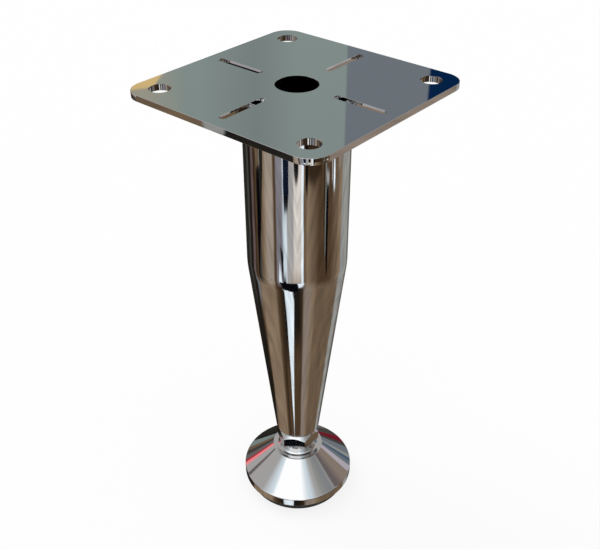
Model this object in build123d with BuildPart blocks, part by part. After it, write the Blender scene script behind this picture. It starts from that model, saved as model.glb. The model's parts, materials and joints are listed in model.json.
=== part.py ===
from build123d import *
from math import atan, cos, degrees, tan
import os

# Chromed bed leg: a square screw plate, a drawn tube that tapers to its lower end, a threaded
# bush fixed in that end, and a levelling foot on a stud that screws into the bush.
# The origin is on the floor, under the middle of the foot. Z points up and the plate's sides
# are parallel to X and Y. All sizes are in millimetres, with the foot screwed right in.

# Mounting plate
plate_width = 110.0
plate_thickness = 3.0
plate_corner_radius = 10.0
plate_edge_radius = 0.15
bolt_hole_diameter = 10.0
bolt_hole_spacing = 86.0
centre_hole_diameter = 20.0
hole_edge_break = 0.25
slot_count = 4
slot_length = 27.0
slot_width = 2.0
slot_centre_radius = 35.0

# Leg shell: a round tube above, a taper below, drawn from one tube
tube_diameter = 51.0
tube_length = 90.5
taper_length = 115.0
taper_end_diameter = 24.7
wall_thickness = 1.5
shoulder_blend_radius = 50.0
weld_leg = 2.0
shell_end_edge_radius = 0.6

# Threaded bush in the lower end of the shell
stud_diameter = 10.0
thread_clearance = 0.05
bush_length = 18.0
bush_flange_diameter = 23.0
bush_flange_thickness = 1.2
bush_fit_gap = 0.1
bush_edge_chamfer = 0.8

# Levelling stud
stud_projection = 30.0
stud_socket_depth = 18.0
stud_tip_chamfer = 1.0

# Levelling foot
foot_to_bush_gap = 0.3
neck_diameter = 21.0
neck_shoulder_radius = 2.0
neck_height = 14.5
neck_fillet_radius = 3.0
collar_ledge_width = 0.9
flange_drop = 15.4
rim_height = 5.3
rim_wall = 3.45
rim_edge_radius = 0.5
foot_wall = 3.2
hub_diameter = 18.0
rib_count = 6
rib_thickness = 2.0
pad_recess_depth = 2.0
pad_ledge_width = 1.5

# Glide pad under the foot
pad_diameter = 56.0
pad_drop = 6.3
pad_running_gap = 0.3
pad_spigot_diameter = 10.0
pad_spigot_height = 6.0
pad_edge_radius = 1.2
tread_groove_depth = 1.0
tread_groove_width = 2.0
tread_groove_diameters = (20.0, 32.0, 44.0)

# Heights that follow from the stack of pieces
rim_bottom = pad_drop
rim_top = rim_bottom + rim_height
collar_height = rim_top + flange_drop
neck_top = collar_height + neck_height
bush_bottom = neck_top + foot_to_bush_gap
shell_bottom = bush_bottom + bush_flange_thickness
shoulder_height = shell_bottom + taper_length
plate_bottom = shoulder_height + tube_length
plate_top = plate_bottom + plate_thickness

# Slope of the taper, and the radii of the shell's inner side
tube_radius = tube_diameter / 2
taper_end_radius = taper_end_diameter / 2
taper_angle = atan((tube_radius - taper_end_radius) / taper_length)
tube_bore_radius = tube_radius - wall_thickness
taper_wall_across = wall_thickness / cos(taper_angle)
inner_shoulder_height = shoulder_height + wall_thickness * tan(taper_angle / 2)


def taper_bore_radius(height):
    """Radius of the taper's inner side at a height above the floor."""
    return taper_end_radius + (height - shell_bottom) * tan(taper_angle) - taper_wall_across


os.makedirs("parts", exist_ok=True)


# Mounting plate: a square with round corners, one hole in each corner, a hole in the middle
# and four narrow slots that cross the line of the tube's wall
with BuildPart() as mounting_plate:
    with BuildSketch(Plane.XY.offset(plate_bottom)):
        RectangleRounded(plate_width, plate_width, plate_corner_radius)
        with PolarLocations(slot_centre_radius, slot_count):
            SlotOverall(slot_length, slot_width, mode=Mode.SUBTRACT)
    extrude(amount=plate_thickness)
    plate_faces = mounting_plate.faces().filter_by(Axis.Z).sort_by(Axis.Z)
    outline_edges = plate_faces[0].outer_wire().edges() + plate_faces[-1].outer_wire().edges()
    fillet(outline_edges, radius=plate_edge_radius)
    with Locations(Plane.XY.offset(plate_top)):
        with GridLocations(bolt_hole_spacing, bolt_hole_spacing, 2, 2):
            Hole(bolt_hole_diameter / 2)
        Hole(centre_hole_diameter / 2)
    hole_edges = mounting_plate.edges().filter_by(GeomType.CIRCLE).filter_by(
        lambda edge: edge.is_closed
    )
    chamfer(hole_edges, length=hole_edge_break)
mounting_plate.part.label = "mounting_plate"
export_step(mounting_plate.part, "parts/mounting_plate.step")


# Leg shell: the wall's section is drawn once and turned about the axis. The tube runs into the
# taper through a blend, and a flat weld bead joins its top to the plate
with BuildPart() as leg_shell:
    with BuildSketch(Plane.XZ):
        with BuildLine():
            bead = Line(
                (tube_radius + weld_leg, plate_bottom),
                (tube_radius, plate_bottom - weld_leg),
            )
            outer_side = FilletPolyline(
                bead @ 1,
                (tube_radius, shoulder_height),
                (taper_end_radius, shell_bottom),
                radius=shoulder_blend_radius,
            )
            end_face = Line(outer_side @ 1, (taper_bore_radius(shell_bottom), shell_bottom))
            inner_side = FilletPolyline(
                end_face @ 1,
                (tube_bore_radius, inner_shoulder_height),
                (tube_bore_radius, plate_bottom),
                radius=shoulder_blend_radius - wall_thickness,
            )
            Line(inner_side @ 1, bead @ 0)
        make_face()
    revolve(axis=Axis.Z)
    shell_end_edges = leg_shell.edges().filter_by(GeomType.CIRCLE).group_by(Axis.Z)[0]
    fillet(shell_end_edges.sort_by(SortBy.RADIUS)[-1], radius=shell_end_edge_radius)
leg_shell.part.label = "leg_shell"
export_step(leg_shell.part, "parts/leg_shell.step")


# Threaded bush: a turned plug, pushed into the shell from below until its flange bears on the
# shell's end. The bore is the thread's clearance size
bush_top = shell_bottom + bush_length
bush_bore_radius = stud_diameter / 2 + thread_clearance
bush_body_radius = taper_bore_radius(shell_bottom) - bush_fit_gap
with BuildPart() as threaded_bush:
    with BuildSketch(Plane.XZ):
        with BuildLine():
            Polyline(
                (bush_bore_radius, bush_bottom),
                (bush_flange_diameter / 2, bush_bottom),
                (bush_flange_diameter / 2, shell_bottom),
                (bush_body_radius, shell_bottom),
                (bush_body_radius, bush_top),
                (bush_bore_radius, bush_top),
                close=True,
            )
        make_face()
    revolve(axis=Axis.Z)
    bush_top_edges = threaded_bush.edges().filter_by(GeomType.CIRCLE).group_by(Axis.Z)[-1]
    chamfer(bush_top_edges, length=bush_edge_chamfer)
threaded_bush.part.label = "threaded_bush"
export_step(threaded_bush.part, "parts/threaded_bush.step")


# Levelling stud: a threaded rod, held in the foot's neck and screwed through the bush
stud_bottom = neck_top - stud_socket_depth
with BuildPart() as levelling_stud:
    with BuildSketch(Plane.XY.offset(stud_bottom)):
        Circle(stud_diameter / 2)
    extrude(amount=stud_socket_depth + stud_projection)
    chamfer(levelling_stud.edges().group_by(Axis.Z)[-1], length=stud_tip_chamfer)
levelling_stud.part.label = "levelling_stud"
export_step(levelling_stud.part, "parts/levelling_stud.step")


# Levelling foot: neck, hollow fillet, flat ledge, sloping flange and upright rim are one
# turned outline. The hollow underside keeps a wall of even thickness, a hub and ribs
neck_radius = neck_diameter / 2
ledge_inner_radius = neck_radius + neck_fillet_radius
collar_radius = ledge_inner_radius + collar_ledge_width
neck_fillet_centre = collar_height + neck_fillet_radius
pad_radius = pad_diameter / 2
recess_radius = pad_radius + pad_running_gap
flange_radius = recess_radius + rim_wall
flange_angle = atan(flange_drop / (flange_radius - collar_radius))
recess_top = rim_bottom + pad_recess_depth
hub_radius = hub_diameter / 2
stud_socket_radius = stud_diameter / 2 + thread_clearance
spigot_bore_radius = pad_spigot_diameter / 2 + thread_clearance
spigot_bore_top = recess_top + pad_spigot_height


def flange_roof(radius):
    """Height of the hollow's roof, one wall under the flange's upper side, at a radius."""
    return rim_top + (flange_radius - radius) * tan(flange_angle) - foot_wall / cos(flange_angle)


# The hollow between the ribs, cut from the foot below. Inside the recess it leaves a ledge, on
# which the pad bears
hollow_radius = recess_radius - pad_ledge_width
hollow_height = flange_roof(hub_radius) - recess_top
with BuildPart() as foot_hollow:
    with BuildSketch(Plane.XZ):
        with BuildLine():
            Polyline(
                (hub_radius, recess_top),
                (hollow_radius, recess_top),
                (hollow_radius, flange_roof(hollow_radius)),
                (hub_radius, flange_roof(hub_radius)),
                close=True,
            )
        make_face()
    revolve(axis=Axis.Z)
    with BuildSketch(Plane.XY.offset(recess_top)):
        with PolarLocations(hollow_radius / 2, rib_count):
            Rectangle(hollow_radius, rib_thickness)
    extrude(amount=hollow_height, mode=Mode.SUBTRACT)

with BuildPart() as levelling_foot:
    with BuildSketch(Plane.XZ):
        with BuildLine():
            top_face = Line((0, neck_top), (neck_radius, neck_top))
            neck_side = Line(top_face @ 1, (neck_radius, neck_fillet_centre))
            hollow_fillet = CenterArc(
                (ledge_inner_radius, neck_fillet_centre), neck_fillet_radius, 180, 90
            )
            Polyline(
                hollow_fillet @ 1,
                (collar_radius, collar_height),
                (flange_radius, rim_top),
                (flange_radius, rim_bottom),
                (recess_radius, rim_bottom),
                (recess_radius, recess_top),
                (0, recess_top),
                (0, neck_top),
            )
        make_face()
    revolve(axis=Axis.Z)
    round_edges = levelling_foot.edges().filter_by(GeomType.CIRCLE)
    fillet(round_edges.group_by(Axis.Z)[-1], radius=neck_shoulder_radius)
    rim_edges = levelling_foot.edges().filter_by(GeomType.CIRCLE).filter_by(
        lambda edge: abs(edge.radius - flange_radius) < rim_edge_radius
    )
    fillet(rim_edges, radius=rim_edge_radius)
    add(foot_hollow.part, mode=Mode.SUBTRACT)
    with Locations(Plane.XY.offset(neck_top)):
        Hole(stud_socket_radius, depth=stud_socket_depth)
    with Locations(Plane.XY.offset(recess_top).rotated((180, 0, 0))):
        Hole(spigot_bore_radius, depth=spigot_bore_top - recess_top)
levelling_foot.part.label = "levelling_foot"
export_step(levelling_foot.part, "parts/levelling_foot.step")


# Glide pad: a moulded disc that stands on the floor, with a spigot on which the foot turns
pad_top = recess_top - pad_running_gap
spigot_top = spigot_bore_top - pad_running_gap
with BuildPart() as glide_pad:
    with BuildSketch(Plane.XY):
        Circle(pad_radius)
    extrude(amount=pad_top)
    fillet(glide_pad.edges().group_by(Axis.Z)[0], radius=pad_edge_radius)
    with BuildSketch(Plane.XY):
        for groove_diameter in tread_groove_diameters:
            Circle(groove_diameter / 2 + tread_groove_width / 2)
            Circle(groove_diameter / 2 - tread_groove_width / 2, mode=Mode.SUBTRACT)
    extrude(amount=tread_groove_depth, mode=Mode.SUBTRACT)
    with BuildSketch(Plane.XY.offset(pad_top)):
        Circle(pad_spigot_diameter / 2)
    extrude(amount=spigot_top - pad_top)
glide_pad.part.label = "glide_pad"
export_step(glide_pad.part, "parts/glide_pad.step")

print("Height", round(plate_top, 2), "mm, taper", round(degrees(taper_angle), 2), "degrees")
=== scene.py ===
import json
import logging
from dataclasses import dataclass
from enum import Enum
from math import atan, atan2, cos, degrees, hypot, pi, radians, sin, tan, tau

import bmesh
import bpy
from bmesh.types import BMEdge, BMesh, BMFace, BMVert
from mathutils import Matrix, Vector


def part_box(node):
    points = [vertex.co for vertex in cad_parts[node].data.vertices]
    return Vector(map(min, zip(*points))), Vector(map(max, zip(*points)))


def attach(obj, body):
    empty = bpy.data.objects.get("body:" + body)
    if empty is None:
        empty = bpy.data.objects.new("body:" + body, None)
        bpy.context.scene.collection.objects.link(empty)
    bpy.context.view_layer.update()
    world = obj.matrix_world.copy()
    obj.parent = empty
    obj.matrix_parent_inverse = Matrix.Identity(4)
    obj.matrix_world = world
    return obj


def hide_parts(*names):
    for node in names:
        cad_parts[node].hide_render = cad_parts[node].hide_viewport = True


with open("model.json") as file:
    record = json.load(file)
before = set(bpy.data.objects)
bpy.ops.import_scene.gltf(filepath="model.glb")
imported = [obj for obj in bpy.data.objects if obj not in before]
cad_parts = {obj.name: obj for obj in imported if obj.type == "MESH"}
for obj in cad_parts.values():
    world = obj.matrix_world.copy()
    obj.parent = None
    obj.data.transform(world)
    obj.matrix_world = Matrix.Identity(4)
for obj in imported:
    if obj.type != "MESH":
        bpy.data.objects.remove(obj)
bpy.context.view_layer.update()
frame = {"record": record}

LOG = logging.getLogger("bed_leg")

MM = 0.001
TURN_STEPS = 240
HOLE_STEPS = 96
CORNER_STEPS = 8
LONGEST_STEP = 2.5 * MM
WELD_DISTANCE = 0.0005 * MM
SUPPORT = 0.05 * MM
SHORTEST_RUN = 10 * SUPPORT
FLAT_LIMIT = 0.999999
CREASE_ANGLE = radians(32)
SHARP_ANGLE = radians(80)
UP = Vector((0, 0, 1))

Range = tuple[float, float]
Shade = tuple[float, float, float, float]
Socket = bpy.types.NodeSocket


class Body(Enum):
    """The moving bodies that a piece can ride on."""

    LEG = "leg"
    PAD = "pad"
    FOOT = "foot"


class Slot(Enum):
    """The record's material slots."""

    PLATE = "plate_chrome"
    SHELL = "shell_chrome"
    BUSH = "bush_steel"
    STUD = "stud_steel"
    FOOT = "foot_chrome"
    PAD = "pad_rubber"


class Grain(Enum):
    """Direction in which a polished or turned surface was worked."""

    EVEN = (1.0, 1.0, 1.0)
    ALONG = (1.0, 1.0, 0.08)
    AROUND = (0.06, 0.06, 1.0)


def linear(tone: float) -> float:
    """Light value of an sRGB tone from 0 to 1."""
    return tone / 12.92 if tone <= 0.04045 else ((tone + 0.055) / 1.055) ** 2.4


def colour(red: float, green: float, blue: float) -> Shade:
    """Shader colour of three sRGB tones from 0 to 255."""
    return (linear(red / 255), linear(green / 255), linear(blue / 255), 1.0)


class NodeSheet:
    """Adds and joins the nodes of one material or of the world."""

    def __init__(self, tree: bpy.types.NodeTree) -> None:
        """Starts on an emptied tree.

        Args:
            tree: the node tree of a material or a world.
        """
        self.tree = tree
        self.tree.nodes.clear()

    def add(self, kind: str, feeds: dict[str, object] | None = None,
            **settings: object) -> bpy.types.Node:
        """Adds a node.

        Args:
            kind: the node's type name.
            feeds: what goes into its inputs, by their names.
            **settings: properties of the node itself.

        Returns:
            The new node.
        """
        node = self.tree.nodes.new(kind)
        for name, value in settings.items():
            setattr(node, name, value)
        for name, value in (feeds or {}).items():
            self.feed(node.inputs[name], value)
        return node

    def feed(self, socket: Socket, value: object) -> None:
        """Joins a socket to another one, or gives it a fixed value.

        Args:
            socket: an input.
            value: an output socket, a number or a tuple.
        """
        if isinstance(value, Socket):
            self.tree.links.new(value, socket)
        else:
            socket.default_value = value

    def work(self, kind: str, *values: object, **settings: object) -> Socket:
        """Adds a node that makes one result of its first inputs.

        Args:
            kind: the node's type name.
            *values: sockets or fixed values, in the order of the inputs.
            **settings: properties of the node itself.

        Returns:
            The result's socket.
        """
        node = self.add(kind, **settings)
        for socket, value in zip(node.inputs, values):
            self.feed(socket, value)
        return node.outputs[0]

    def math(self, operation: str, *values: object) -> Socket:
        """Works out a number with an operation of the Math node."""
        return self.work("ShaderNodeMath", *values, operation=operation)

    def angle(self, operation: str, *values: object) -> Socket:
        """Works out an angle in degrees with an operation of the Math node."""
        return self.math("DEGREES", self.math(operation, *values))

    def vector(self, x: object, y: object, z: object) -> Socket:
        """Joins three numbers to a vector."""
        return self.work("ShaderNodeCombineXYZ", x, y, z)

    def span(self, value: object, low: float, high: float, start: float = 0.0, end: float = 1.0,
             smooth: bool = False) -> Socket:
        """Maps a number from one range to another and holds it at both ends.

        Args:
            value: the number's socket.
            low: input that gives start.
            high: input that gives end.
            start: output at low.
            end: output at high.
            smooth: eases in and out.

        Returns:
            The mapped number's socket.
        """
        feeds = {"Value": value, "From Min": low, "From Max": high, "To Min": start, "To Max": end}
        kind = "SMOOTHSTEP" if smooth else "LINEAR"
        node = self.add("ShaderNodeMapRange", feeds, clamp=True, interpolation_type=kind)
        return node.outputs["Result"]

    def mix(self, share: object, first: object, second: object) -> Socket:
        """Mixes two colours.

        Args:
            share: how much of the second one shows.
            first: a colour or its socket.
            second: a colour or its socket.

        Returns:
            The mixed colour's socket.
        """
        node = self.add("ShaderNodeMix", data_type="RGBA")
        for index, value in ((0, share), (6, first), (7, second)):
            self.feed(node.inputs[index], value)
        return node.outputs[2]

    def noise(self, place: Socket, detail: float, distortion: float = 0.0) -> Socket:
        """Makes a noise whose features are about one wide.

        Args:
            place: where it is looked up.
            detail: octaves of the noise.
            distortion: how much it is stirred.

        Returns:
            The noise's value socket.
        """
        feeds = {"Vector": place, "Scale": 1.0, "Detail": detail, "Distortion": distortion}
        return self.add("ShaderNodeTexNoise", feeds).outputs["Fac"]

    def grain(self, place: Socket, grain: Grain, size: float, detail: float = 3.0) -> Socket:
        """Lays a noise over the piece in its own space.

        Args:
            place: object coordinates.
            grain: direction of the noise.
            size: width of the noise's features, in metres.
            detail: octaves of the noise.

        Returns:
            The noise's value socket.
        """
        scale = tuple(share / size for share in grain.value)
        mapping = self.add("ShaderNodeMapping", {"Vector": place, "Scale": scale})
        return self.noise(mapping.outputs["Vector"], detail)

    def bump(self, height: Socket, depth: float) -> Socket:
        """Makes the normals of a height that is so many metres deep."""
        feeds = {"Strength": 1.0, "Distance": depth, "Height": height}
        return self.add("ShaderNodeBump", feeds).outputs["Normal"]


class Finish:
    """A surface finish that can be made into a material."""

    def feeds(self, sheet: NodeSheet, place: Socket) -> dict[str, object]:
        """What goes into the Principled shader's inputs, at a place on the piece."""
        raise NotImplementedError

    def material(self, name: str) -> bpy.types.Material:
        """Makes the finish's material.

        Args:
            name: the material's name.

        Returns:
            The material.
        """
        made = bpy.data.materials.new(name)
        made.use_nodes = True
        sheet = NodeSheet(made.node_tree)
        place = sheet.add("ShaderNodeTexCoord").outputs["Object"]
        shader = sheet.add("ShaderNodeBsdfPrincipled", self.feeds(sheet, place))
        sheet.add("ShaderNodeOutputMaterial", {"Surface": shader.outputs["BSDF"]})
        return made


@dataclass(frozen=True)
class ChromeFinish(Finish):
    """Bright chrome plate: a mirror with a faint haze, fine polishing lines and a slight ripple."""

    tint: Shade = (0.66, 0.66, 0.67, 1.0)
    clear_roughness: float = 0.03
    hazy_roughness: float = 0.06
    haze_range: Range = (0.35, 0.65)
    haze_share: float = 0.7
    haze_size: float = 14 * MM
    line_size: float = 0.35 * MM
    ripple_size: float = 16 * MM
    ripple_height: float = 0.004 * MM
    grain: Grain = Grain.EVEN

    def feeds(self, sheet: NodeSheet, place: Socket) -> dict[str, object]:
        """Makes the chrome's tone, haze and ripple.

        Args:
            sheet: the material's nodes.
            place: object coordinates.

        Returns:
            What goes into the Principled shader's inputs.
        """
        haze = sheet.grain(place, Grain.EVEN, self.haze_size)
        lines = sheet.grain(place, self.grain, self.line_size, detail=2.0)
        worn = sheet.math("ADD", sheet.math("MULTIPLY", haze, self.haze_share),
                          sheet.math("MULTIPLY", lines, 1 - self.haze_share))
        ripple = sheet.grain(place, self.grain, self.ripple_size, detail=1.0)
        roughness = sheet.span(worn, *self.haze_range, self.clear_roughness, self.hazy_roughness)
        return {"Base Color": self.tint, "Metallic": 1.0, "Roughness": roughness,
                "Normal": sheet.bump(ripple, self.ripple_height)}


@dataclass(frozen=True)
class TurnedSteelFinish(Finish):
    """Zinc plated turned steel: soft shine, fine tool lines round the axis and a patchy tone."""

    light: Shade = (0.62, 0.62, 0.58, 1.0)
    dark: Shade = (0.44, 0.45, 0.42, 1.0)
    tone_range: Range = (0.35, 0.65)
    smooth_roughness: float = 0.24
    rough_roughness: float = 0.42
    rough_range: Range = (0.3, 0.7)
    patch_size: float = 5 * MM
    line_size: float = 0.12 * MM
    line_height: float = 0.01 * MM

    def feeds(self, sheet: NodeSheet, place: Socket) -> dict[str, object]:
        """Makes the steel's patches and tool lines.

        Args:
            sheet: the material's nodes.
            place: object coordinates.

        Returns:
            What goes into the Principled shader's inputs.
        """
        patches = sheet.grain(place, Grain.EVEN, self.patch_size)
        lines = sheet.grain(place, Grain.AROUND, self.line_size, detail=2.0)
        tone = sheet.mix(sheet.span(patches, *self.tone_range), self.light, self.dark)
        roughness = sheet.span(patches, *self.rough_range, self.smooth_roughness, self.rough_roughness)
        return {"Base Color": tone, "Metallic": 1.0, "Roughness": roughness,
                "Normal": sheet.bump(lines, self.line_height)}


@dataclass(frozen=True)
class RubberFinish(Finish):
    """Matt black moulded rubber with a fine grain and a slightly greyer bloom."""

    deep: Shade = (0.012, 0.012, 0.012, 1.0)
    bloom: Shade = (0.03, 0.03, 0.029, 1.0)
    bloom_range: Range = (0.4, 0.7)
    low_roughness: float = 0.55
    high_roughness: float = 0.8
    rough_range: Range = (0.3, 0.7)
    bloom_size: float = 7 * MM
    grain_size: float = 0.25 * MM
    grain_height: float = 0.02 * MM

    def feeds(self, sheet: NodeSheet, place: Socket) -> dict[str, object]:
        """Makes the rubber's bloom and grain.

        Args:
            sheet: the material's nodes.
            place: object coordinates.

        Returns:
            What goes into the Principled shader's inputs.
        """
        bloom = sheet.grain(place, Grain.EVEN, self.bloom_size)
        grain = sheet.grain(place, Grain.EVEN, self.grain_size, detail=4.0)
        tone = sheet.mix(sheet.span(bloom, *self.bloom_range), self.deep, self.bloom)
        roughness = sheet.span(bloom, *self.rough_range, self.low_roughness, self.high_roughness)
        return {"Base Color": tone, "Roughness": roughness,
                "Normal": sheet.bump(grain, self.grain_height)}


def round_off(shape: BMesh, geom: list, reach: float, steps: int, affect: str = "VERTICES") -> None:
    """Rounds corners of an outline, or edges of a solid.

    Args:
        shape: the mesh.
        geom: the corners or the edges.
        reach: how far from them the rounding starts.
        steps: facets across it. One makes a flat chamfer.
        affect: VERTICES or EDGES.
    """
    bmesh.ops.bevel(shape, geom=geom, offset=reach, offset_type="OFFSET", segments=steps, profile=0.5,
                    affect=affect, clamp_overlap=False, loop_slide=False, material=-1)


def cut_level(shape: BMesh, height: float, normal: Vector = UP, trim: bool = False) -> None:
    """Cuts all faces at a height.

    Args:
        shape: the mesh.
        height: where it is cut.
        normal: the cut's normal.
        trim: clears what lies beyond the cut, on the side that its normal points to.
    """
    bmesh.ops.bisect_plane(shape, geom=shape.verts[:] + shape.edges[:] + shape.faces[:],
                           dist=WELD_DISTANCE, plane_co=(0, 0, height), plane_no=normal,
                           clear_outer=trim)


def absorb(shape: BMesh, other: BMesh) -> None:
    """Adds another mesh to a mesh.

    Args:
        shape: the mesh that grows.
        other: the mesh that goes into it. It is freed.
    """
    carrier = bpy.data.meshes.new("carrier")
    other.to_mesh(carrier)
    other.free()
    shape.from_mesh(carrier)
    bpy.data.meshes.remove(carrier)


def stretch(vert: BMVert, share: float) -> None:
    """Multiplies a point's distance from the Z axis."""
    vert.co.x *= share
    vert.co.y *= share


def off_centre(place: Vector, count: int) -> float:
    """Angle between a place and the nearest of so many even spokes about the Z axis."""
    spacing = tau / count
    return (atan2(place.y, place.x) + spacing / 2) % spacing - spacing / 2


class Outline:
    """A line in the XZ half plane, drawn corner by corner and then turned about the Z axis."""

    def __init__(self, radius: float, height: float) -> None:
        """Starts the line.

        Args:
            radius: distance of the first point from the axis.
            height: height of the first point.
        """
        self.shape: BMesh = bmesh.new()
        self.first: BMVert = self.shape.verts.new((radius, 0, height))
        self.tip: BMVert = self.first
        self.rounded: list[tuple[BMVert, float]] = []

    def to(self, radius: float, height: float, reach: float = 0.0) -> None:
        """Draws a straight stretch.

        Args:
            radius: distance of its end from the axis.
            height: height of its end.
            reach: how far from this corner its rounding starts, or 0 for a sharp corner.
        """
        point = self.shape.verts.new((radius, 0, height))
        self.shape.edges.new((self.tip, point))
        self.tip = point
        if reach:
            self.rounded.append((point, reach))

    def round_about(self, radius: float, height: float, turn: float) -> None:
        """Draws an arc from the line's end.

        Args:
            radius: distance of the arc's centre from the axis.
            height: height of the arc's centre.
            turn: angle of the arc about the Y axis.
        """
        swept = bmesh.ops.spin(self.shape, geom=[self.tip], cent=(radius, 0, height), axis=(0, 1, 0),
                               angle=turn, steps=2 * CORNER_STEPS, use_merge=False)
        self.tip = next(item for item in swept["geom_last"] if isinstance(item, BMVert))

    def close(self) -> "Outline":
        """Joins the line's end to its start."""
        self.shape.edges.new((self.tip, self.first))
        return self

    def turned(self, steps: int = TURN_STEPS) -> BMesh:
        """Rounds the corners and turns the line about the axis.

        Args:
            steps: facets round the axis.

        Returns:
            The turned skin.
        """
        shape = self.shape
        for point, reach in self.rounded:
            round_off(shape, [point], reach, CORNER_STEPS)
        for edge in [edge for edge in shape.edges if edge.calc_length() > SHORTEST_RUN]:
            length = edge.calc_length()
            start, end = edge.verts
            bmesh.utils.edge_split(edge, start, SUPPORT / length)
            rest = next(item for item in end.link_edges
                        if abs(item.calc_length() + SUPPORT - length) < SUPPORT / 2)
            bmesh.utils.edge_split(rest, end, SUPPORT / rest.calc_length())
        for edge in [edge for edge in shape.edges if edge.calc_length() > LONGEST_STEP]:
            bmesh.ops.subdivide_edges(shape, edges=[edge], cuts=int(edge.calc_length() / LONGEST_STEP))
        bmesh.ops.spin(shape, geom=shape.verts[:] + shape.edges[:], cent=(0, 0, 0), axis=(0, 0, 1),
                       angle=tau, steps=steps, use_merge=True)
        bmesh.ops.remove_doubles(shape, verts=shape.verts, dist=WELD_DISTANCE)
        bmesh.ops.recalc_face_normals(shape, faces=shape.faces)
        return shape


@dataclass
class Thread:
    """A right-hand screw thread with flanks of 60 degrees."""

    pitch: float
    major_radius: float
    inner_radius: float
    outer_radius: float
    play: float = 0.0
    steps: int = 48
    flank_angle: float = radians(30)
    crest_share: float = 0.125

    def half_crest(self, radius: float) -> float:
        """Half of the thread's width, along the axis, at a radius."""
        half_flat = self.pitch * self.crest_share / 2
        return half_flat + (self.major_radius - radius) * tan(self.flank_angle) + self.play

    def skin(self, bottom: float, top: float, phase_height: float) -> BMesh:
        """Winds the thread and trims it flat at both ends.

        Args:
            bottom: height of the lower end.
            top: height of the upper end.
            phase_height: height at which a turn starts, so that two threads can run in step.

        Returns:
            The thread's skin, open at both ends.
        """
        shape = bmesh.new()
        turns_below = int((phase_height - bottom) / self.pitch) + 2
        start = phase_height - turns_below * self.pitch
        turns = int((top - start) / self.pitch) + 2
        middle = start + self.pitch / 2
        wide = self.half_crest(self.inner_radius)
        narrow = self.half_crest(self.outer_radius)
        places = ((self.inner_radius, start), (self.inner_radius, middle - wide),
                  (self.outer_radius, middle - narrow), (self.outer_radius, middle + narrow),
                  (self.inner_radius, middle + wide), (self.inner_radius, start + self.pitch))
        points = [shape.verts.new((radius, 0, height)) for radius, height in places]
        for first, second in zip(points, points[1:]):
            shape.edges.new((first, second))
        bmesh.ops.spin(shape, geom=shape.verts[:] + shape.edges[:], cent=(0, 0, 0), axis=(0, 0, 1),
                       dvec=(0, 0, self.pitch / self.steps), angle=tau * turns,
                       steps=self.steps * turns, use_merge=False)
        bmesh.ops.remove_doubles(shape, verts=shape.verts, dist=WELD_DISTANCE)
        for height, direction in ((bottom, -UP), (top, UP)):
            cut_level(shape, height, direction, trim=True)
        return shape


def open_edges(shape: BMesh, height: float) -> list[BMEdge]:
    """Finds the open edges that lie at a height.

    Args:
        shape: the mesh.
        height: their height.

    Returns:
        The edges.
    """
    return [edge for edge in shape.edges if edge.is_boundary
            and all(abs(vert.co.z - height) < WELD_DISTANCE for vert in edge.verts)]


@dataclass
class SubAssembly:
    """What every class of the leg's pieces shares: dressing a shape and putting it on its body."""

    def dress(self, shape: BMesh, name: str, finish: Finish, slot: Slot, body: Body,
              node: str | None = None) -> None:
        """Makes an object of a finished shape.

        Args:
            shape: the shape, in place and in metres. It is freed.
            name: the piece's name.
            finish: its finish.
            slot: the record's slot that the finish belongs to. It is not used.
            body: the body that it rides on.
            node: the CAD node that it stands for, if any.
        """
        bmesh.ops.recalc_face_normals(shape, faces=shape.faces)
        for face in shape.faces:
            face.smooth = max(abs(part) for part in face.normal) < FLAT_LIMIT
        for edge in shape.edges:
            edge.smooth = edge.calc_face_angle(0.0) < CREASE_ANGLE
        mesh = bpy.data.meshes.new(name)
        shape.to_mesh(mesh)
        shape.free()
        mesh.materials.append(finish.material(name + "_finish"))
        piece = bpy.data.objects.new(name, mesh)
        bpy.context.scene.collection.objects.link(piece)
        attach(piece, body.value)
        if node:
            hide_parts(node)
        LOG.info("%s: %d faces on body %s", name, len(mesh.polygons), body.value)


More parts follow.
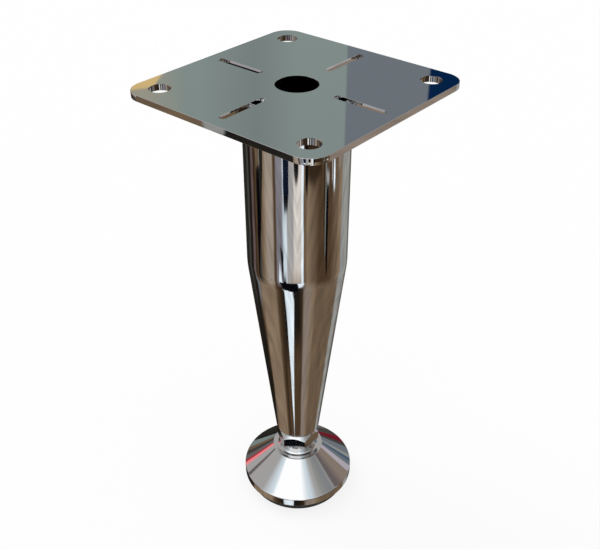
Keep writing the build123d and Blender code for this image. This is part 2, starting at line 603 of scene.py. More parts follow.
@dataclass
class MountingPlate(SubAssembly):
    """The square plate that is screwed to the furniture."""

    finish: ChromeFinish
    corner_radius: float = 10 * MM
    edge_radius: float = 0.15 * MM
    centre_hole_radius: float = 10 * MM
    hole_edge_break: float = 0.1 * MM
    slot_length: float = 27 * MM
    slot_width: float = 3.5 * MM
    slot_centre_radius: float = 35 * MM
    slot_count: int = 4
    edge_steps: int = 4
    side_margin: float = 1 * MM

    def __post_init__(self) -> None:
        """Takes the plate's outer size and its hole pattern from the frame."""
        self.low, self.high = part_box("mounting_plate")
        bolts = next(m for m in frame["record"]["mounts"] if m["name"] == "plate_bolts")
        self.bolt_spacing = bolts["dims"]["spacing_x_mm"] * MM
        self.bolt_radius = bolts["dims"]["hole_r_mm"] * MM

    def add_hole(self, shape: BMesh, radius: float, x: float, y: float) -> None:
        """Draws the edge of one round hole.

        Args:
            shape: the plate's outline.
            radius: the hole's radius.
            x: the hole's place.
            y: the hole's place.
        """
        ring = bmesh.ops.create_circle(shape, cap_ends=False, segments=HOLE_STEPS, radius=radius)
        bmesh.ops.translate(shape, verts=ring["verts"], vec=(x, y, 0))

    def add_slot(self, shape: BMesh, angle: float) -> None:
        """Draws the edge of one slot with round ends.

        Args:
            shape: the plate's outline.
            angle: direction of the slot from the plate's middle.
        """
        piece = bmesh.new()
        bmesh.ops.create_grid(piece, x_segments=1, y_segments=1, size=0.5)
        bmesh.ops.scale(piece, verts=piece.verts, vec=(self.slot_length, self.slot_width, 1))
        round_off(piece, piece.verts[:], self.slot_width / 2 - WELD_DISTANCE, CORNER_STEPS)
        bmesh.ops.remove_doubles(piece, verts=piece.verts, dist=4 * WELD_DISTANCE)
        bmesh.ops.translate(piece, verts=piece.verts, vec=(self.slot_centre_radius, 0, 0))
        bmesh.ops.rotate(piece, verts=piece.verts, cent=(0, 0, 0), matrix=Matrix.Rotation(angle, 3, "Z"))
        bmesh.ops.delete(piece, geom=piece.faces[:], context="FACES_ONLY")
        absorb(shape, piece)

    def break_edges(self, shape: BMesh, inside: bool, radius: float, steps: int) -> None:
        """Rounds or breaks the plate's sharp edges.

        Args:
            shape: the solid plate.
            inside: picks the holes' and slots' edges, else the outer ones.
            radius: size of the edge.
            steps: facets across the edge.
        """
        side = self.high.x
        chosen = []
        for edge in shape.edges:
            middle = (edge.verts[0].co + edge.verts[1].co) / 2
            reach = max(abs(middle.x), abs(middle.y))
            corner = hypot(abs(middle.x) - side + self.corner_radius,
                           abs(middle.y) - side + self.corner_radius)
            near_corner = min(abs(middle.x), abs(middle.y)) > side - self.corner_radius
            outer = corner > self.corner_radius / 2 if near_corner else reach > side - self.side_margin
            if edge.calc_face_angle(0.0) > SHARP_ANGLE and outer != inside:
                chosen.append(edge)
        horizontal = [edge for edge in chosen
                      if abs(edge.verts[0].co.z - edge.verts[1].co.z) < WELD_DISTANCE]
        round_off(shape, horizontal, radius, steps, affect="EDGES")

    def build(self) -> None:
        """Makes the plate from its outline and the edges of its holes."""
        shape = bmesh.new()
        bmesh.ops.create_grid(shape, x_segments=1, y_segments=1, size=self.high.x)
        round_off(shape, shape.verts[:], self.corner_radius, 3 * CORNER_STEPS)
        bmesh.ops.delete(shape, geom=shape.faces[:], context="FACES_ONLY")
        half = self.bolt_spacing / 2
        for x in (-half, half):
            for y in (-half, half):
                self.add_hole(shape, self.bolt_radius, x, y)
        self.add_hole(shape, self.centre_hole_radius, 0, 0)
        for index in range(self.slot_count):
            self.add_slot(shape, index * tau / self.slot_count)
        bmesh.ops.translate(shape, verts=shape.verts, vec=(0, 0, self.low.z))
        bmesh.ops.triangle_fill(shape, use_beauty=True, use_dissolve=False, edges=shape.edges[:],
                                normal=UP)
        raised = bmesh.ops.extrude_face_region(shape, geom=shape.faces[:])
        bmesh.ops.translate(shape, vec=(0, 0, self.high.z - self.low.z),
                            verts=[item for item in raised["geom"] if isinstance(item, BMVert)])
        bmesh.ops.recalc_face_normals(shape, faces=shape.faces)
        self.break_edges(shape, False, self.edge_radius, self.edge_steps)
        self.break_edges(shape, True, self.hole_edge_break, 1)
        inset = self.hole_edge_break + SUPPORT
        for height in (self.low.z + inset, self.high.z - inset):
            cut_level(shape, height)
        self.dress(shape, "screw_plate", self.finish, Slot.PLATE, Body.LEG, "mounting_plate")


@dataclass
class LegShell(SubAssembly):
    """The drawn tube and taper with the weld bead that holds them to the plate."""

    finish: ChromeFinish
    tube_radius: float = 25.5 * MM
    taper_length: float = 115 * MM
    taper_end_radius: float = 12.35 * MM
    wall: float = 1.5 * MM
    shoulder_radius: float = 50 * MM
    end_edge_radius: float = 0.6 * MM
    bead_leg: float = 2 * MM
    bead_hollow: float = 0.3 * MM
    bead_ripple: float = 0.09 * MM
    bead_ripples: int = 110
    bead_calm: float = 0.05
    bead_steps: int = 880

    def __post_init__(self) -> None:
        """Takes the shell's two ends from the frame."""
        low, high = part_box("leg_shell")
        self.bottom = low.z
        self.top = high.z

    def build_shell(self) -> None:
        """Turns the tube and the taper from one closed wall section."""
        angle = atan((self.tube_radius - self.taper_end_radius) / self.taper_length)
        shoulder = self.bottom + self.taper_length
        across = self.wall / cos(angle)
        inner_shoulder = shoulder + self.wall * tan(angle / 2)
        reach = self.shoulder_radius * tan(angle / 2)
        inner_reach = (self.shoulder_radius - self.wall) * tan(angle / 2)
        line = Outline(self.tube_radius, self.top)
        line.to(self.tube_radius, shoulder, reach)
        line.to(self.taper_end_radius, self.bottom, self.end_edge_radius)
        line.to(self.taper_end_radius - across, self.bottom)
        line.to(self.tube_radius - self.wall, inner_shoulder, inner_reach)
        line.to(self.tube_radius - self.wall, self.top)
        self.dress(line.close().turned(), "tapered_tube", self.finish, Slot.SHELL, Body.LEG,
                   "leg_shell")

    def build_bead(self) -> None:
        """Turns the weld bead and gives its face the ripples of a welded seam."""
        root = self.tube_radius - self.bead_hollow
        line = Outline(root, self.top)
        line.to(root, self.top - self.bead_leg - self.bead_hollow)
        line.to(self.tube_radius + self.bead_leg / 3, self.top - self.bead_leg / 3, self.bead_leg / 2)
        line.to(self.tube_radius + self.bead_leg, self.top)
        shape = line.close().turned(self.bead_steps)
        for vert in shape.verts:
            out = hypot(vert.co.x, vert.co.y)
            depth = (self.top - vert.co.z) / self.bead_leg
            if out > root + WELD_DISTANCE and self.bead_calm < depth < 1:
                wave = sin(atan2(vert.co.y, vert.co.x) * self.bead_ripples + 2 * depth)
                swell = self.bead_ripple * wave * sin(pi * depth)
                stretch(vert, 1 + swell / out)
        self.dress(shape, "weld_bead", self.finish, Slot.SHELL, Body.LEG)

    def build(self) -> None:
        """Makes the shell and its bead."""
        self.build_shell()
        self.build_bead()


@dataclass
class LevellingScrew(SubAssembly):
    """The threaded bush in the shell's end and the stud that runs in it."""

    finish: TurnedSteelFinish
    pitch: float = 1.5 * MM
    stud_radius: float = 5 * MM
    stud_core_radius: float = 4.188 * MM
    tip_chamfer: float = 1 * MM
    bush_play: float = 0.05 * MM
    bush_crest_radius: float = 4.31 * MM
    bush_root_radius: float = 5.1 * MM
    bush_flange_height: float = 1.2 * MM
    bush_body_radius: float = 10.74 * MM
    bush_chamfer: float = 0.8 * MM

    def build_stud(self) -> None:
        """Winds the stud's thread, tapers its tip and caps both ends."""
        low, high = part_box("levelling_stud")
        form = Thread(self.pitch, self.stud_radius, self.stud_core_radius, self.stud_radius)
        shape = form.skin(low.z, high.z, low.z)
        for vert in shape.verts:
            out = hypot(vert.co.x, vert.co.y)
            limit = self.stud_radius - self.tip_chamfer + high.z - vert.co.z
            if out > limit:
                stretch(vert, limit / out)
        for height in (low.z, high.z):
            bmesh.ops.holes_fill(shape, edges=open_edges(shape, height), sides=0)
        self.dress(shape, "screw_stud", self.finish, Slot.STUD, Body.FOOT, "levelling_stud")

    def build_bush(self) -> None:
        """Turns the bush's outside round a threaded bore."""
        low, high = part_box("threaded_bush")
        stud_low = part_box("levelling_stud")[0]
        form = Thread(self.pitch, self.stud_radius, self.bush_crest_radius, self.bush_root_radius,
                      self.bush_play)
        shape = form.skin(low.z, high.z, stud_low.z)
        line = Outline(high.x, low.z)
        line.to(high.x, low.z + self.bush_flange_height)
        line.to(self.bush_body_radius, low.z + self.bush_flange_height)
        line.to(self.bush_body_radius, high.z - self.bush_chamfer)
        line.to(self.bush_body_radius - self.bush_chamfer, high.z)
        absorb(shape, line.turned(HOLE_STEPS))
        for height in (low.z, high.z):
            bmesh.ops.triangle_fill(shape, use_beauty=True, use_dissolve=False,
                                    edges=open_edges(shape, height), normal=UP)
        self.dress(shape, "screw_bush", self.finish, Slot.BUSH, Body.LEG, "threaded_bush")

    def build(self) -> None:
        """Makes the bush and the stud."""
        self.build_bush()
        self.build_stud()


@dataclass
class LevellingFoot(SubAssembly):
    """The chromed foot: hexagon, neck, hollow fillet, flat ledge, sloping flange and rim."""

    finish: ChromeFinish
    neck_radius: float = 10.5 * MM
    neck_round_height: float = 5.5 * MM
    hex_radius: float = 10.7 * MM
    hex_chamfer: float = 2.4 * MM
    hex_sides: int = 6
    fillet_radius: float = 1.8 * MM
    collar_radius: float = 14.4 * MM
    collar_edge_reach: float = 0.25 * MM
    flange_drop: float = 15.4 * MM
    rim_height: float = 5.3 * MM
    rim_edge_radius: float = 0.5 * MM
    rim_wall: float = 2.95 * MM
    recess_depth: float = 2 * MM
    ledge_width: float = 1.5 * MM
    wall: float = 3.2 * MM
    hub_radius: float = 9 * MM
    bore_radius: float = 5.05 * MM
    spigot_bore_depth: float = 6 * MM
    rib_count: int = 6
    rib_thickness: float = 2 * MM

    def __post_init__(self) -> None:
        """Takes the foot's ends, its outer radius and its socket's bottom from the frame."""
        low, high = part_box("levelling_foot")
        self.rim_bottom = low.z
        self.neck_top = high.z
        self.flange_radius = high.x
        self.rim_top = self.rim_bottom + self.rim_height
        self.collar = self.rim_top + self.flange_drop
        self.hex_bottom = self.collar + self.neck_round_height
        self.recess_top = self.rim_bottom + self.recess_depth
        self.recess_radius = self.flange_radius - self.rim_wall
        self.hollow_radius = self.recess_radius - self.ledge_width
        self.socket_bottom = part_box("levelling_stud")[0].z
        self.slope = atan(self.flange_drop / (self.flange_radius - self.collar_radius))

    def roof(self, radius: float) -> float:
        """Height of the hollow's roof at a radius."""
        fall = (self.flange_radius - radius) * tan(self.slope)
        return self.rim_top + fall - self.wall / cos(self.slope)

    def turn_outside(self) -> BMesh:
        """Turns the foot's whole section without the hollow between the ribs.

        Returns:
            The turned foot.
        """
        arc_height = self.collar + self.fillet_radius
        bore_top = self.recess_top + self.spigot_bore_depth
        hex_shoulder = self.neck_top - self.hex_chamfer
        line = Outline(0, self.socket_bottom)
        line.to(self.bore_radius, self.socket_bottom)
        line.to(self.bore_radius, self.neck_top)
        line.to(self.hex_radius - self.hex_chamfer, self.neck_top)
        line.to(self.hex_radius, hex_shoulder)
        line.to(self.hex_radius, self.hex_bottom)
        line.to(self.neck_radius, self.hex_bottom)
        line.to(self.neck_radius, arc_height)
        line.round_about(self.neck_radius + self.fillet_radius, arc_height, -pi / 2)
        line.to(self.collar_radius, self.collar, self.collar_edge_reach)
        line.to(self.flange_radius, self.rim_top, self.rim_edge_radius)
        line.to(self.flange_radius, self.rim_bottom, self.rim_edge_radius)
        line.to(self.recess_radius, self.rim_bottom)
        line.to(self.recess_radius, self.recess_top)
        line.to(self.hollow_radius, self.recess_top)
        line.to(self.hub_radius, self.recess_top)
        line.to(self.bore_radius, self.recess_top)
        line.to(self.bore_radius, bore_top)
        line.to(0, bore_top)
        return line.turned()

    def shape_hexagon(self, shape: BMesh) -> None:
        """Pushes the neck's upper part out into a hexagon whose top corners are turned off.

        Args:
            shape: the turned foot.
        """
        top_radius = self.hex_radius - self.hex_chamfer
        flat_height = self.neck_top - self.hex_chamfer - self.hex_bottom
        for vert in shape.verts:
            out = hypot(vert.co.x, vert.co.y)
            above = vert.co.z - self.hex_bottom
            if out < top_radius + WELD_DISTANCE or above < -WELD_DISTANCE:
                continue
            reach = self.hex_radius / cos(off_centre(vert.co, self.hex_sides))
            if out > self.hex_radius - WELD_DISTANCE:
                vert.co.z -= (reach - self.hex_radius) * above / flat_height
                wanted = reach
            elif above > flat_height:
                share = (out - top_radius) / self.hex_chamfer
                wanted = top_radius + share * (reach - top_radius)
                vert.co.z = self.neck_top - wanted + top_radius
            else:
                wanted = out
            stretch(vert, wanted / out)

    def underside(self, shape: BMesh) -> list[BMFace]:
        """Finds the flat ring under the foot, from the hub to the ledge.

        Args:
            shape: the turned foot.

        Returns:
            Its faces.
        """
        found = []
        for face in shape.faces:
            middle = face.calc_center_median()
            out = hypot(middle.x, middle.y)
            level = abs(middle.z - self.recess_top) < WELD_DISTANCE
            if level and self.hub_radius < out < self.hollow_radius:
                found.append(face)
        return found

    def rib_distance(self, place: Vector) -> float:
        """Distance of a place from the middle of the nearest rib."""
        return abs(hypot(place.x, place.y) * sin(off_centre(place, self.rib_count)))

    def sink_hollow(self, shape: BMesh) -> None:
        """Raises the underside between the ribs up to the hollow's roof.

        Args:
            shape: the turned foot.
        """
        for index in range(self.rib_count):
            angle = index * tau / self.rib_count
            side = Vector((-sin(angle), cos(angle), 0))
            ring = self.underside(shape)
            edges = {edge for face in ring for edge in face.edges}
            verts = {vert for face in ring for vert in face.verts}
            bmesh.ops.bisect_plane(shape, geom=list(verts) + list(edges) + ring, dist=WELD_DISTANCE,
                                   plane_co=side * self.rib_thickness / 2, plane_no=side)
        open_ring = [face for face in self.underside(shape)
                     if self.rib_distance(face.calc_center_median()) > self.rib_thickness / 2]
        raised = bmesh.ops.extrude_face_region(shape, geom=open_ring)
        for item in raised["geom"]:
            if isinstance(item, BMVert):
                item.co.z = self.roof(hypot(item.co.x, item.co.y))
        bmesh.ops.delete(shape, geom=open_ring, context="FACES")

    def build(self) -> None:
        """Makes the foot."""
        shape = self.turn_outside()
        self.shape_hexagon(shape)
        self.sink_hollow(shape)
        self.dress(shape, "screw_foot", self.finish, Slot.FOOT, Body.FOOT, "levelling_foot")


@dataclass
class GlidePad(SubAssembly):
    """The moulded pad that the foot turns on."""

    finish: RubberFinish
    radius: float = 28.5 * MM
    edge_radius: float = 0.6 * MM
    thickness: float = 8 * MM
    spigot_radius: float = 5 * MM
    groove_depth: float = 1 * MM
    groove_half_width: float = 1 * MM
    groove_radii: tuple[float, ...] = (10 * MM, 16 * MM, 22 * MM)

    def build(self) -> None:
        """Turns the pad with its spigot and its tread grooves."""
        low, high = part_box("glide_pad")
        line = Outline(0, high.z)
        line.to(self.spigot_radius, high.z)
        line.to(self.spigot_radius, self.thickness)
        line.to(self.radius, self.thickness)
        line.to(self.radius, low.z, self.edge_radius)
        for radius in reversed(self.groove_radii):
            line.to(radius + self.groove_half_width, low.z)
            line.to(radius + self.groove_half_width, low.z + self.groove_depth)
            line.to(radius - self.groove_half_width, low.z + self.groove_depth)
            line.to(radius - self.groove_half_width, low.z)
        line.to(0, low.z)
        self.dress(line.turned(), "floor_pad", self.finish, Slot.PAD, Body.PAD, "glide_pad")


class Tone(Enum):
    """Colours round the stand, as they show in the polished metal (sRGB, 0 to 255)."""

    BLACK = (8, 8, 12)
    SOOT = (28, 25, 21)
    CHARCOAL = (36, 34, 30)
    IRON = (62, 60, 56)
    UMBER = (50, 37, 25)
    WALNUT = (74, 57, 40)
    OAK = (102, 85, 67)
    TAN = (127, 109, 89)
    TAUPE = (130, 117, 106)
    SAND = (150, 138, 125)
    ROSE_GREY = (100, 92, 92)
    ROSE_BROWN = (92, 77, 75)
    DUSK = (98, 92, 90)
    LILAC = (120, 117, 123)
    PALE_LILAC = (170, 162, 170)
    STONE = (127, 128, 130)
    ASH = (138, 139, 135)
    FOG = (160, 158, 156)
    SKY = (202, 214, 220)
    PEARL = (186, 182, 182)
    IVORY = (207, 200, 192)
    ICE = (224, 234, 240)
    WHITE = (255, 255, 255)
    NAVY = (4, 32, 66)
    INK = (14, 22, 40)
    STEEL_BLUE = (70, 88, 104)
    SLATE = (103, 110, 116)
    SAGE = (124, 136, 132)
    FERN = (114, 124, 122)
    KHAKI = (146, 144, 129)
    GOLD = (200, 172, 118)
    PINK = (236, 130, 136)
    RED = (170, 28, 34)
    CRIMSON = (100, 24, 36)

    def shade(self) -> Shade:
        """The tone as a shader colour."""
        return colour(*self.value)


SHARP = 0.8


@dataclass(frozen=True)
class Stripe:
    """One upright board of a ring round the stand."""

    start: float
    tone: Tone
    fade: float = SHARP


@dataclass(frozen=True)
class Ring:
    """A ring of upright boards, from one azimuth to another, ordered by azimuth in degrees."""

    start: float
    end: float
    stripes: tuple[Stripe, ...]

    def paint(self, sheet: NodeSheet, azimuth: Socket) -> Socket:
        """Makes the ring's colours.

        Args:
            sheet: the world's nodes.
            azimuth: azimuth in degrees.

        Returns:
            The colour's socket.
        """
        ramp = sheet.add("ShaderNodeValToRGB", {"Fac": sheet.span(azimuth, self.start, self.end)})
        stops = ramp.color_ramp.elements
        stops[0].position = 0.0
        stops[0].color = self.stripes[0].tone.shade()
        stops.remove(stops[1])
        tone = self.stripes[0].tone
        for stripe in self.stripes[1:]:
            for place, shown in ((-stripe.fade / 2, tone), (stripe.fade / 2, stripe.tone)):
                share = (stripe.start + place - self.start) / (self.end - self.start)
                stops.new(min(max(share, 0.0), 1.0)).color = shown.shade()
            tone = stripe.tone
        return ramp.outputs["Color"]


@dataclass(frozen=True)
class Card:
    """One card in front of the rings. Its corners go clockwise, in azimuth and elevation."""

    tone: Tone
    corners: tuple[Range, ...]
    fade: float = 0.4

    def paint(self, sheet: NodeSheet, place: Socket, behind: Socket) -> Socket:
        """Lays the card over what is behind it.

        Args:
            sheet: the world's nodes.
            place: azimuth and elevation in degrees, and one.
            behind: the colour behind the card.

        Returns:
            The colour's socket.
        """
        inside: Socket | None = None
        for first, second in zip(self.corners, self.corners[1:] + self.corners[:1]):
            along = Vector((second[0] - first[0], second[1] - first[1])).normalized()
            side = Vector((along.y, -along.x))
            depth = sheet.add("ShaderNodeVectorMath", {"Vector": place}, operation="DOT_PRODUCT")
            sheet.feed(depth.inputs[1], (side.x, side.y, -side.dot(Vector(first))))
            reach = depth.outputs["Value"]
            inside = sheet.math("MINIMUM", inside, reach) if inside else reach
        share = sheet.span(inside, -self.fade / 2, self.fade / 2, smooth=True)
        return sheet.mix(share, behind, self.tone.shade())


FLOOR_LEFT = Ring(-180, 0, (
    Stripe(-180, Tone.SOOT), Stripe(-119, Tone.UMBER, 6), Stripe(-112, Tone.OAK, 8),
    Stripe(-104, Tone.TAN, 6), Stripe(-56, Tone.WALNUT, 7),
    Stripe(-47, Tone.UMBER, 6), Stripe(-38, Tone.SOOT, 5),
))
FLOOR_RIGHT = Ring(0, 180, (
    Stripe(0, Tone.SOOT), Stripe(7, Tone.UMBER, 4), Stripe(16, Tone.TAUPE, 6),
    Stripe(38, Tone.TAN, 12), Stripe(46, Tone.OAK, 10), Stripe(118, Tone.ASH, 5),
    Stripe(140, Tone.DUSK, 10), Stripe(148, Tone.IRON, 8), Stripe(170, Tone.CHARCOAL, 6),
))
ROOM_LEFT = Ring(-180, 0, (
    Stripe(-180, Tone.CHARCOAL), Stripe(-137, Tone.IRON, 4), Stripe(-127, Tone.SOOT, 2),
    Stripe(-116.5, Tone.ROSE_BROWN, 2), Stripe(-107.5, Tone.UMBER, 2), Stripe(-103, Tone.WALNUT, 2),
    Stripe(-97.5, Tone.SOOT, 1.5), Stripe(-92, Tone.IRON, 3), Stripe(-87, Tone.OAK, 4),
    Stripe(-80, Tone.TAN, 6), Stripe(-74, Tone.SAND, 8), Stripe(-53.5, Tone.WALNUT, 4),
    Stripe(-47, Tone.LILAC, 3), Stripe(-31.5, Tone.SKY, 5), Stripe(-22.5, Tone.FOG, 1.5),
    Stripe(-8, Tone.IVORY, 2),
))
ROOM_RIGHT = Ring(0, 180, (
    Stripe(0, Tone.IVORY), Stripe(8.8, Tone.ICE), Stripe(13.6, Tone.OAK), Stripe(20, Tone.TAN, 4),
    Stripe(36, Tone.WALNUT, 26), Stripe(88, Tone.OAK, 20), Stripe(100, Tone.TAN, 12),
    Stripe(113, Tone.ASH, 3), Stripe(148, Tone.DUSK, 3),
))
CEILING_LEFT = Ring(-180, 0, (
    Stripe(-180, Tone.SOOT), Stripe(-156.5, Tone.FERN), Stripe(-148, Tone.OAK), Stripe(-143, Tone.IRON),
    Stripe(-137.5, Tone.ROSE_GREY), Stripe(-131, Tone.RED), Stripe(-128.3, Tone.PINK, 1),
    Stripe(-123.5, Tone.FOG, 2), Stripe(-111.5, Tone.ROSE_GREY, 1),
    Stripe(-106.5, Tone.FOG, 1), Stripe(-66, Tone.SKY, 20), Stripe(-54, Tone.WHITE, 10),
))
CEILING_RIGHT = Ring(0, 180, (
    Stripe(0, Tone.WHITE), Stripe(17, Tone.SKY, 16), Stripe(36, Tone.FOG, 16), Stripe(48, Tone.ASH, 12),
    Stripe(60, Tone.STONE, 12), Stripe(75, Tone.ASH), Stripe(79.5, Tone.ROSE_GREY),
    Stripe(93, Tone.TAUPE, 12), Stripe(114, Tone.PALE_LILAC), Stripe(123, Tone.SLATE),
    Stripe(129, Tone.STEEL_BLUE, 2), Stripe(133.5, Tone.ASH, 2), Stripe(138, Tone.SLATE, 2),
    Stripe(148, Tone.IRON, 2), Stripe(153.5, Tone.CRIMSON, 3), Stripe(164, Tone.IRON),
))
WALL_BEHIND = Ring(-16, 16, (
    Stripe(-16, Tone.NAVY), Stripe(-9.45, Tone.SLATE, 0.05), Stripe(-3.57, Tone.SAGE, 0.05),
    Stripe(1.5, Tone.FERN, 3), Stripe(5.5, Tone.SAGE, 5), Stripe(9, Tone.KHAKI, 4),
))
GOLD_FRAME = Card(Tone.GOLD, ((8.26, 19.4), (10.27, 21.65), (16, 21.9), (16, 19.4)), 0.1)
CARDS = (
    Card(Tone.CRIMSON, ((153, -17), (162.5, -17), (162.5, -27), (153, -22)), 0.8),
    Card(Tone.IRON, ((162.5, -17), (181, -17), (181, -30), (162.5, -30)), 1.6),
    Card(Tone.PEARL, ((-181, -17), (-172, -17), (-172, -26.5), (-181, -26.5)), 1),
    Card(Tone.PEARL, ((172, -17), (181, -17), (181, -26.5), (172, -26.5)), 1),
    Card(Tone.UMBER, ((21, -10), (54, -10), (54, -27.6), (38, -28.4), (21, -28.2)), 1),
    Card(Tone.BLACK, ((-97, -18), (-73, -18), (-74, -27), (-87, -31.5), (-90, -34.5), (-97, -35))),
    Card(Tone.CHARCOAL, ((-91, -25), (-77, -25), (-79, -28), (-86, -31))),
    Card(Tone.OAK, ((-99, -18), (-88, -18), (-88, -27.2), (-99, -27.2)), 0.3),
    Card(Tone.ASH, ((-88, -18), (-86.7, -18), (-86.7, -27.2), (-88, -27.2)), 0.2),
    Card(Tone.INK, ((-30.5, -10), (-17.5, -10), (-18, -29), (-20.5, -30.2), (-28.4, -30.5), (-30, -28.5))),
    Card(Tone.BLACK, ((-28.5, -29.2), (-20, -29.2), (-20.5, -30.3), (-28.4, -30.6))),
    Card(Tone.BLACK, ((-7.3, -10), (2.8, -10), (2.8, -27.7), (0.5, -28.4), (-5, -28.5), (-7.3, -27.8))),
    Card(Tone.SAND, ((-14, -34.9), (9, -34.5), (9, -37), (-14, -37)), 1.6),
    Card(Tone.BLACK, ((-39.5, -32.4), (-31, -33.2), (-29, -37), (-35, -34.4), (-39, -33.6))),
    Card(Tone.ICE, ((-41.5, -34), (-36, -34.4), (-33.5, -37), (-42.5, -37))),
    Card(Tone.BLACK, ((-31.5, -34.6), (-25, -34.9), (-24, -37.2), (-33, -37.2))),
    Card(Tone.BLACK, ((11, -10), (22.3, -10), (22, -28.3), (21.4, -31.4), (18.3, -32.3), (17, -28.6),
                      (12.5, -27.9))),
    Card(Tone.SOOT, ((57.3, -10), (61, -10), (60.6, -31.2), (59.3, -31.6))),
    Card(Tone.FERN, ((61, -10), (64.2, -10), (65.5, -33), (63.6, -33.3))),
    Card(Tone.BLACK, ((64.6, -28.2), (71, -28.2), (70.8, -34.3), (66.6, -34.8))),
    Card(Tone.FOG, ((65, -27.4), (72, -27.5), (72, -28.4), (66, -28.5)), 0.3),
    Card(Tone.FOG, ((77, -25), (80, -25), (81.5, -28), (79, -28.2))),
    Card(Tone.ICE, ((82.5, -25), (87, -25), (88.5, -28.6), (84.5, -28.8))),
    Card(Tone.TAUPE, ((98, -18), (113, -18), (113, -27.2), (98, -27.2)), 0.6),
    Card(Tone.SLATE, ((-116, -39), (-108, -39), (-106, -43.5), (-114, -43.5)), 2),
    Card(Tone.BLACK, ((-43, -36.8), (13, -36.8), (3, -46), (-8, -49.2), (-27, -46.6), (-36, -43))),
    Card(Tone.ICE, ((0, -36.9), (18, -36.9), (13, -41), (3, -42.5))),
    Card(Tone.WALNUT, ((-40, -52.5), (14, -52.5), (14, -75), (-40, -75)), 3),
    Card(Tone.ICE, ((-37.5, -45), (-9, -49.5), (-17.5, -58), (-21, -58))),
    Card(Tone.FOG, ((-21.8, -57.5), (-20, -57.5), (-20.3, -61), (-21.8, -61))),
    Card(Tone.OAK, ((-136, -49.3), (-114, -49.3), (-114, -62), (-144, -62)), 0.6),
    Card(Tone.TAN, ((-119, -51), (-101, -45.5), (-95, -62), (-123, -62)), 2),
)


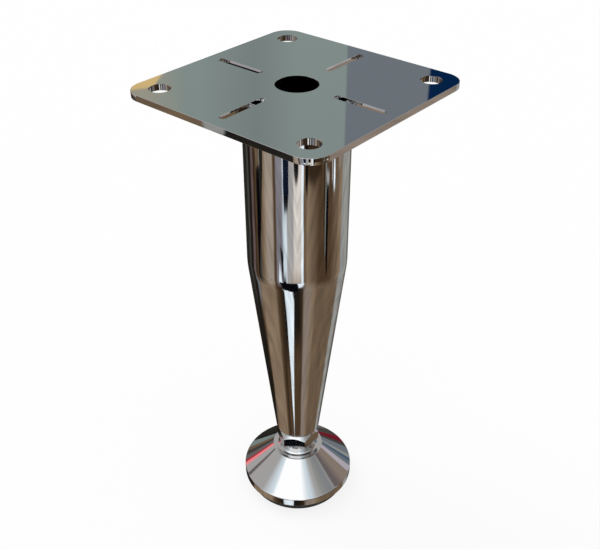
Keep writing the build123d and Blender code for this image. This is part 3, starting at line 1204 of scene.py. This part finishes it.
@dataclass
class Surroundings:
    """Boards and panels round the leg, as the polished metal mirrors them. Angles in degrees.

    Azimuth 0 is towards the camera. A range's first value is outside of an edge, its second inside.
    """

    sheet: NodeSheet
    view_azimuth: float
    room_start: Range = (-44, -37)
    ceiling_start: Range = (-19.5, -18)
    front_side: Range = (76, 68)
    front_rise: float = 7.5
    panel_start: Range = (22, 30)
    panel_side: Range = (78, 66)
    cap_start: Range = (52, 56)
    cap_side: Range = (113, 109)
    wall_start: Range = (14, 16)
    wall_side: Range = (16, 15)
    wall_end: Range = (32, 28)
    wander_width: float = 9.0
    wander_height: float = 2.2
    azimuth_wander: float = 1.2
    elevation_wander: float = 0.5
    grain_length: float = 24.0
    grain_width: float = 0.9
    grain_slant: float = 0.12
    grain_depth: float = 0.28
    grain_range: Range = (0.3, 0.7)
    grain_twist: float = 0.6

    def __post_init__(self) -> None:
        """Works out the angles of each direction."""
        sheet = self.sheet
        way = sheet.add("ShaderNodeTexCoord").outputs["Generated"]
        turned = sheet.add("ShaderNodeVectorRotate", {"Vector": way, "Angle": -self.view_azimuth},
                           rotation_type="Z_AXIS")
        x, y, z = sheet.add("ShaderNodeSeparateXYZ", {"Vector": turned.outputs[0]}).outputs
        self.azimuth = sheet.angle("ARCTAN2", y, x)
        self.elevation = sheet.angle("ARCSINE", z)
        self.from_behind = sheet.angle("ARCTAN2", sheet.math("MULTIPLY", y, -1.0),
                                       sheet.math("MULTIPLY", x, -1.0))
        self.lean = sheet.angle("ARCTAN2", z, x)
        self.bent_azimuth = self.bend(self.azimuth, self.azimuth_wander)
        self.bent_elevation = self.bend(self.elevation, self.elevation_wander)

    def inside(self, *edges: tuple[Socket, Range], smooth: bool = True) -> Socket:
        """Share of a direction inside of several edges.

        Args:
            *edges: each edge's angle and range.
            smooth: eases the edges.

        Returns:
            The share's socket.
        """
        share: object = 1.0
        for angle, edge in edges:
            share = self.sheet.math("MULTIPLY", share, self.sheet.span(angle, *edge, smooth=smooth))
        return share

    def bend(self, value: Socket, reach: float) -> Socket:
        """Lets an angle wander, so that no card has a ruled edge.

        Args:
            value: the angle.
            reach: how far it wanders.

        Returns:
            The wandering angle's socket.
        """
        sheet = self.sheet
        place = sheet.vector(sheet.math("MULTIPLY", self.azimuth, 1 / self.wander_width),
                             sheet.math("MULTIPLY", self.elevation, 1 / self.wander_height), reach)
        shift = sheet.math("SUBTRACT", sheet.noise(place, detail=2.0), 0.5)
        return sheet.math("MULTIPLY_ADD", shift, 2 * reach, value)

    def add_grain(self, shown: Socket) -> Socket:
        """Streaks the lower surroundings like boarded floors and furniture.

        Args:
            shown: the colour before.

        Returns:
            The streaked colour's socket.
        """
        sheet = self.sheet
        slanted = sheet.math("MULTIPLY_ADD", sheet.math("ABSOLUTE", self.azimuth), -self.grain_slant,
                             self.elevation)
        place = sheet.vector(sheet.math("MULTIPLY", self.azimuth, 1 / self.grain_length),
                             sheet.math("MULTIPLY", slanted, 1 / self.grain_width), 0.0)
        strength = sheet.span(sheet.noise(place, 4.0, self.grain_twist), *self.grain_range,
                              1 - self.grain_depth, 1 + self.grain_depth)
        feeds = {"Vector": shown, "Scale": strength}
        return sheet.add("ShaderNodeVectorMath", feeds, operation="SCALE").outputs[0]

    def lower_half(self) -> Socket:
        """Makes the floor and the room, with their cards and grain.

        Returns:
            The colour's socket.
        """
        shown = self.sheet.mix(self.inside((self.bent_elevation, self.room_start)),
                               self.ring(FLOOR_LEFT, FLOOR_RIGHT), self.ring(ROOM_LEFT, ROOM_RIGHT))
        place = self.sheet.vector(self.bent_azimuth, self.bent_elevation, 1.0)
        for card in CARDS:
            shown = card.paint(self.sheet, place, shown)
        return self.add_grain(shown)

    def ring(self, left: Ring, right: Ring) -> Socket:
        """Joins a ring's left and right halves."""
        halves = [half.paint(self.sheet, self.bent_azimuth) for half in (left, right)]
        return self.sheet.mix(self.sheet.math("GREATER_THAN", self.azimuth, 0.0), *halves)

    def colour(self) -> Socket:
        """Makes what the polished metal mirrors in each direction.

        Returns:
            The colour's socket.
        """
        sheet = self.sheet
        front = self.inside((sheet.math("ABSOLUTE", self.azimuth), self.front_side), smooth=False)
        lowered = sheet.math("SUBTRACT", self.elevation, sheet.math("MULTIPLY", front, self.front_rise))
        shown = sheet.mix(self.inside((lowered, self.ceiling_start)), self.lower_half(),
                          self.ring(CEILING_LEFT, CEILING_RIGHT))
        beside = sheet.math("ABSOLUTE", self.from_behind)
        panel = self.inside((self.elevation, self.panel_start), (beside, self.panel_side))
        cap = self.inside((self.elevation, self.cap_start), (self.lean, self.cap_side))
        for share, tone in ((panel, Tone.FOG), (cap, Tone.SOOT)):
            shown = sheet.mix(share, shown, tone.shade())
        back = self.inside((self.elevation, self.wall_start), (beside, self.wall_side),
                           (self.elevation, self.wall_end), smooth=False)
        place = sheet.vector(self.from_behind, self.elevation, 1.0)
        wall = GOLD_FRAME.paint(sheet, place, WALL_BEHIND.paint(sheet, self.from_behind))
        return sheet.mix(back, shown, wall)


@dataclass
class Studio:
    """Pale floor, soft light and the boards that the polished metal mirrors."""

    view_azimuth: float
    floor_size: float = 12.0
    floor_tone: Shade = (0.95, 0.95, 0.95, 1.0)
    floor_glow: float = 0.82
    soft_light: float = 0.82
    sun_strength: float = 0.75
    sun_angle: float = radians(35)
    sun_tilt: float = radians(32)
    sun_side: float = radians(-40)
    mirror_gain: float = 1.5

    def build_floor(self) -> None:
        """Lays the floor. The metal doesn't mirror it, because it is hidden from glossy rays."""
        shape = bmesh.new()
        bmesh.ops.create_grid(shape, x_segments=1, y_segments=1, size=self.floor_size / 2)
        mesh = bpy.data.meshes.new("studio_floor")
        shape.to_mesh(mesh)
        shape.free()
        made = bpy.data.materials.new("floor_paint")
        made.use_nodes = True
        sheet = NodeSheet(made.node_tree)
        seen = sheet.add("ShaderNodeLightPath").outputs["Is Camera Ray"]
        blend = sheet.work("ShaderNodeMixShader", sheet.math("MULTIPLY", seen, self.floor_glow),
                           sheet.work("ShaderNodeBsdfDiffuse", self.floor_tone),
                           sheet.work("ShaderNodeEmission"))
        sheet.add("ShaderNodeOutputMaterial", {"Surface": blend})
        mesh.materials.append(made)
        floor = bpy.data.objects.new("studio_floor", mesh)
        bpy.context.scene.collection.objects.link(floor)
        floor.visible_glossy = False
        LOG.info("studio_floor: %.0f m wide", self.floor_size)

    def build_sun(self) -> None:
        """Hangs one broad soft lamp, which the metal doesn't mirror."""
        lamp = bpy.data.lights.new("soft_lamp", "SUN")
        lamp.energy = self.sun_strength
        lamp.angle = self.sun_angle
        holder = bpy.data.objects.new("soft_lamp", lamp)
        holder.rotation_euler = (self.sun_tilt, 0, self.view_azimuth + self.sun_side)
        holder.visible_glossy = False
        bpy.context.scene.collection.objects.link(holder)

    def build_world(self) -> None:
        """Sets the soft light all round, white for the camera and boards for the metal."""
        world = bpy.data.worlds.new("studio")
        bpy.context.scene.world = world
        world.use_nodes = True
        sheet = NodeSheet(world.node_tree)
        path = sheet.add("ShaderNodeLightPath").outputs
        strength = sheet.span(path["Is Camera Ray"], 0.0, 1.0, self.soft_light, 1.0)
        soft = sheet.work("ShaderNodeBackground", Tone.WHITE.shade(), strength)
        mirrored = sheet.work("ShaderNodeBackground", Surroundings(sheet, self.view_azimuth).colour(),
                              self.mirror_gain)
        both = sheet.work("ShaderNodeMixShader", path["Is Glossy Ray"], soft, mirrored)
        sheet.add("ShaderNodeOutputWorld", {"Surface": both})

    def build(self) -> None:
        """Sets up the floor, the lamp and the surroundings."""
        self.build_floor()
        self.build_sun()
        self.build_world()
        bpy.context.scene.view_settings.view_transform = "Standard"


@dataclass
class PhotoCamera:
    """The camera that looks at the leg from the photo's side, above and in front."""

    reach: float = 354.95 * MM
    azimuth: float = radians(-49.474)
    above_plate: float = 141.75 * MM
    turn: float = radians(-0.220)
    pitch: float = radians(34.620)
    focal_pixels: float = 834.9
    image_width: float = 600.0
    sensor_width: float = 36.0
    nearest: float = 10 * MM
    farthest: float = 50.0

    def build(self) -> None:
        """Places the camera and makes it the scene's own."""
        lens = bpy.data.cameras.new("photo_camera")
        lens.sensor_width = self.sensor_width
        lens.lens = self.focal_pixels / self.image_width * self.sensor_width
        lens.clip_start = self.nearest
        lens.clip_end = self.farthest
        holder = bpy.data.objects.new("photo_camera", lens)
        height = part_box("mounting_plate")[1].z + self.above_plate
        holder.location = (self.reach * cos(self.azimuth), self.reach * sin(self.azimuth), height)
        holder.rotation_euler = (pi / 2 - self.pitch, 0, self.azimuth + pi / 2 + self.turn)
        bpy.context.scene.collection.objects.link(holder)
        bpy.context.scene.camera = holder
        LOG.info("photo_camera: lens %.2f mm, azimuth %.2f", lens.lens, degrees(self.azimuth))


def main() -> None:
    """Builds the leg from the top down, then the studio and the camera."""
    logging.basicConfig(level=logging.INFO, format="%(name)s: %(message)s")
    plate_chrome = ChromeFinish(clear_roughness=0.015, hazy_roughness=0.03, ripple_height=0.0003 * MM)
    shell_chrome = ChromeFinish(grain=Grain.ALONG)
    foot_chrome = ChromeFinish(grain=Grain.AROUND, ripple_height=0.002 * MM)
    steel = TurnedSteelFinish()
    for part in (MountingPlate(plate_chrome), LegShell(shell_chrome), LevellingScrew(steel),
                 LevellingFoot(foot_chrome), GlidePad(RubberFinish())):
        part.build()
    camera = PhotoCamera()
    camera.build()
    Studio(camera.azimuth).build()


if __name__ == "__main__":
    main()
